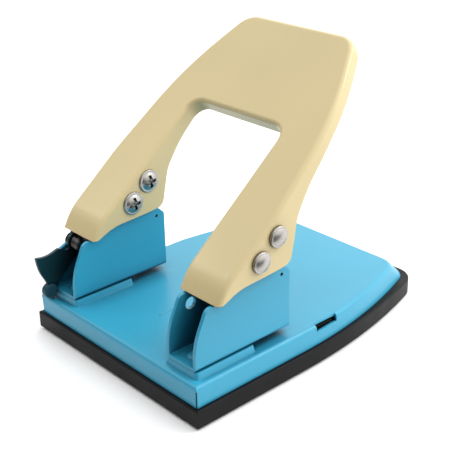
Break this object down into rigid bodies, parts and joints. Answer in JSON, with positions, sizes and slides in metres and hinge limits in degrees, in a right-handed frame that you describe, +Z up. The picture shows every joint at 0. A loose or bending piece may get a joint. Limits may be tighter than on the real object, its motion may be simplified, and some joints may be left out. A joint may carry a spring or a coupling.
{
  "type": "two-hole lever punch",
  "caption": "Desk paper punch: a forked sheet-steel handle presses two spring-returned punches through a flat table over a pull-off chip tray, with a lock lever that holds the handle down.",
  "frame": {"origin": "centre of the outline's box at rest, on the plane that the feet stand on", "axes": "+X to the right, +Y to the rear where the paper goes in, +Z up"},
  "size_m": [0.1098, 0.1536, 0.1287],
  "materials": {
    "blue_paint": "semi-gloss stove enamel on sheet steel",
    "cream_paint": "semi-gloss stove enamel on sheet steel",
    "lever_paint": "semi-gloss stove enamel on sheet steel",
    "black_plastic": "fine-grained moulded plastic",
    "foot_rubber": "matt",
    "tab_plastic": "satin moulded plastic",
    "chrome": "bright nickel-chrome plate",
    "tool_steel": "ground and oiled",
    "spring_steel": "drawn wire"
  },
  "bodies": {
    "base": {"base_plate": "blue_paint", "lever_pivot": "spring_steel", "lever_spring": "spring_steel", "left_bracket": "blue_paint", "left_bracket_rivets": "blue_paint", "left_die_plate": "tool_steel", "left_pin_guide": "tool_steel", "left_return_spring": "spring_steel", "right_bracket": "blue_paint", "right_bracket_rivets": "blue_paint", "right_die_plate": "tool_steel", "right_pin_guide": "tool_steel", "right_return_spring": "spring_steel"},
    "tray": {"chip_tray": "black_plastic", "tray_feet": "foot_rubber"},
    "lever_arm": {"handle": "cream_paint", "left_fulcrum_nut": "chrome", "left_fulcrum_screw": "chrome", "left_fulcrum_washers": "tool_steel", "left_drive_nut": "chrome", "left_drive_screw": "chrome", "left_drive_roller": "tool_steel", "right_fulcrum_nut": "chrome", "right_fulcrum_screw": "chrome", "right_fulcrum_washers": "tool_steel", "right_drive_nut": "chrome", "right_drive_screw": "chrome", "right_drive_roller": "tool_steel"},
    "lock": {"lock_lever": "lever_paint", "lever_tab": "tab_plastic"},
    "left_punch": {"left_punch_pin": "tool_steel", "left_spring_collar": "tool_steel", "left_pin_clip": "tool_steel"},
    "right_punch": {"right_punch_pin": "tool_steel", "right_spring_collar": "tool_steel", "right_pin_clip": "tool_steel"}
  },
  "joints": [
    {"name": "handle_press", "type": "hinge", "parent": "base", "child": "lever_arm", "pos_m": [0, -0.03581, 0.059], "axis": [-1, 0, 0], "range_deg": [0, 41.4], "stiffness_Nm_per_rad": 0.42, "springref_deg": -48.7},
    {"name": "left_punch_stroke", "type": "slide", "parent": "base", "child": "left_punch", "axis": [0, 0, -1], "range_m": [0, 0.008], "deforming": ["left_return_spring"]},
    {"name": "right_punch_stroke", "type": "slide", "parent": "base", "child": "right_punch", "axis": [0, 0, -1], "range_m": [0, 0.008], "deforming": ["right_return_spring"]},
    {"name": "lock_swing", "type": "hinge", "parent": "base", "child": "lock", "pos_m": [-0.04605, -0.05571, 0.0414], "axis": [-1, 0, 0], "range_deg": [0, 90]},
    {"name": "tray_pull", "type": "slide", "parent": "base", "child": "tray", "axis": [0, 0, -1], "range_m": [0, 0.015]}
  ],
  "couplings": [
    {"joint": "left_punch_stroke", "follows": "handle_press", "m_per_rad": 0.01106},
    {"joint": "right_punch_stroke", "follows": "handle_press", "m_per_rad": 0.01106}
  ]
}
